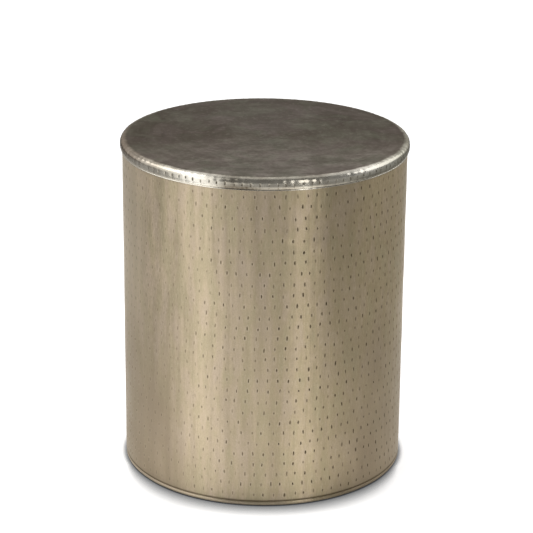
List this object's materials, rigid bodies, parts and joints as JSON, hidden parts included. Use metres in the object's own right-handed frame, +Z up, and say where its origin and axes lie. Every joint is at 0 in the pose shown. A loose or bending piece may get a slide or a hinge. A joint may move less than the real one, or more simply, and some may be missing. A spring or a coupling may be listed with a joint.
{
  "type": "drum side table",
  "caption": "Round drum side table in punched champagne metal sheet with a spun pewter lid that lifts straight off a hollow drum.",
  "frame": {"origin": "on the floor at the centre of the drum, level with the underside of the rubber feet", "axes": "+Z up the drum's own axis, -Y to the front, the upright seam of the wall at +Y"},
  "size_m": [0.4319, 0.432, 0.508],
  "materials": {
    "champagne_sheet": "satin champagne plate over steel sheet, vertical brush lines, rows of small upright punch marks",
    "champagne_pan": "the same champagne plate on the spun foot pan and its bead",
    "bare_sheet": "bare steel strip, lacquered",
    "bar_steel": "rolled flat bar, bare steel under lacquer",
    "wire_steel": "drawn steel wire",
    "screw_steel": "zinc-plated steel screws",
    "washer_steel": "zinc-plated washers",
    "foot_rubber": "matt black moulded rubber",
    "base_board": "medium density fibreboard, sealed",
    "lid_board": "medium density fibreboard",
    "plug_board": "medium density fibreboard, sealed dark on its lower face",
    "felt": "black felt strip",
    "pewter_sheet": "antique pewter patina on a spun face, polished nickel on the rim"
  },
  "bodies": {
    "drum": {"drum_wall": "champagne_sheet", "seam_strap": "bare_sheet", "mouth_hoop": "bar_steel", "foot_pan": "champagne_pan", "foot_wire": "wire_steel", "base_board": "base_board", "base_screws": "screw_steel", "rubber_foot_1": "foot_rubber", "rubber_foot_2": "foot_rubber", "rubber_foot_3": "foot_rubber", "rubber_foot_4": "foot_rubber", "foot_washers": "washer_steel", "foot_screws": "screw_steel"},
    "lid": {"lid_skin": "pewter_sheet", "lid_board": "lid_board", "lid_plug": "plug_board", "lid_felt": "felt", "lid_screws": "screw_steel"}
  },
  "joints": [
    {"name": "lid_lift", "type": "slide", "parent": "drum", "child": "lid", "axis": [0, 0, 1], "range_m": [0, 0.15]}
  ]
}
